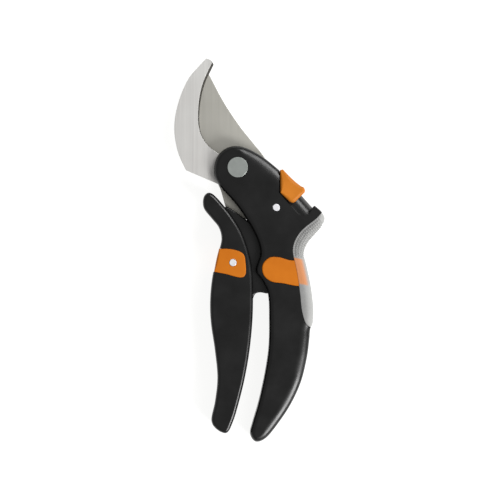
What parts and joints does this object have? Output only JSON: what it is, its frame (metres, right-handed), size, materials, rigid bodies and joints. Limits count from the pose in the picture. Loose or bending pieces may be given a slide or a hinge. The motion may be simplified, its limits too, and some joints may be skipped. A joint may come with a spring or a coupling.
{
  "type": "bypass pruner",
  "caption": "Hand pruner with a curved blade that passes a hooked counter-blade, moulded grips with soft bands and a sliding thumb lock.",
  "frame": {"origin": "on the pivot's axis, at the back face of the pivot nut, which is the resting face", "axes": "+Y from the handles to the blade tips, +Z out of the front face, +X towards the thumb lock"},
  "size_m": [0.0884, 0.2253, 0.0206],
  "materials": {
    "hook_steel": "ground, light grey",
    "blade_steel": "ground, darker grey",
    "pivot_steel": "turned, grey",
    "bright_pin": "bright",
    "spring_steel": "drawn wire and strip",
    "screw_steel": "blackened",
    "washer_brass": "rolled strip",
    "black_nylon": "moulded, satin black",
    "orange_nylon": "moulded, satin orange",
    "orange_rubber": "soft overmould, orange",
    "soft_pad": "soft overmould, grey, ribbed"
  },
  "bodies": {
    "frame": {"hook": "hook_steel", "front_body_shell": "black_nylon", "back_body_shell": "black_nylon", "palm_pad": "soft_pad", "palm_band_front": "orange_rubber", "palm_band_back": "orange_rubber", "pivot_bolt": "pivot_steel", "pivot_nut": "pivot_steel", "hook_washer": "washer_brass", "back_washer": "washer_brass", "torsion_spring": "spring_steel", "hook_pin": "bright_pin", "lock_detent_spring": "spring_steel", "body_screw_1": "screw_steel", "body_screw_2": "screw_steel", "body_screw_3": "screw_steel"},
    "blade": {"cutting_blade": "blade_steel", "lever_core": "black_nylon", "tang_rivet_1": "bright_pin", "tang_rivet_2": "bright_pin"},
    "finger_grip": {"grip_front_shell": "black_nylon", "grip_back_shell": "black_nylon", "grip_band": "orange_rubber", "grip_pin": "bright_pin", "grip_screw_1": "screw_steel", "grip_screw_2": "screw_steel"},
    "lock": {"lock_slider": "orange_nylon", "lock_bolt": "spring_steel", "lock_pin": "spring_steel"}
  },
  "joints": [
    {"name": "blade_pivot", "type": "hinge", "parent": "frame", "child": "blade", "pos_m": [0, 0, 0.0085], "axis": [0, 0, -1], "range_deg": [0, 26], "deforming": ["torsion_spring"]},
    {"name": "grip_rock", "type": "hinge", "parent": "blade", "child": "finger_grip", "pos_m": [-0.0028, -0.0558, 0.01], "axis": [0, 0, -1], "range_deg": [-3, 3]},
    {"name": "lock_slide", "type": "slide", "parent": "frame", "child": "lock", "axis": [0.66, -0.7513, 0], "range_m": [0, 0.007]}
  ]
}
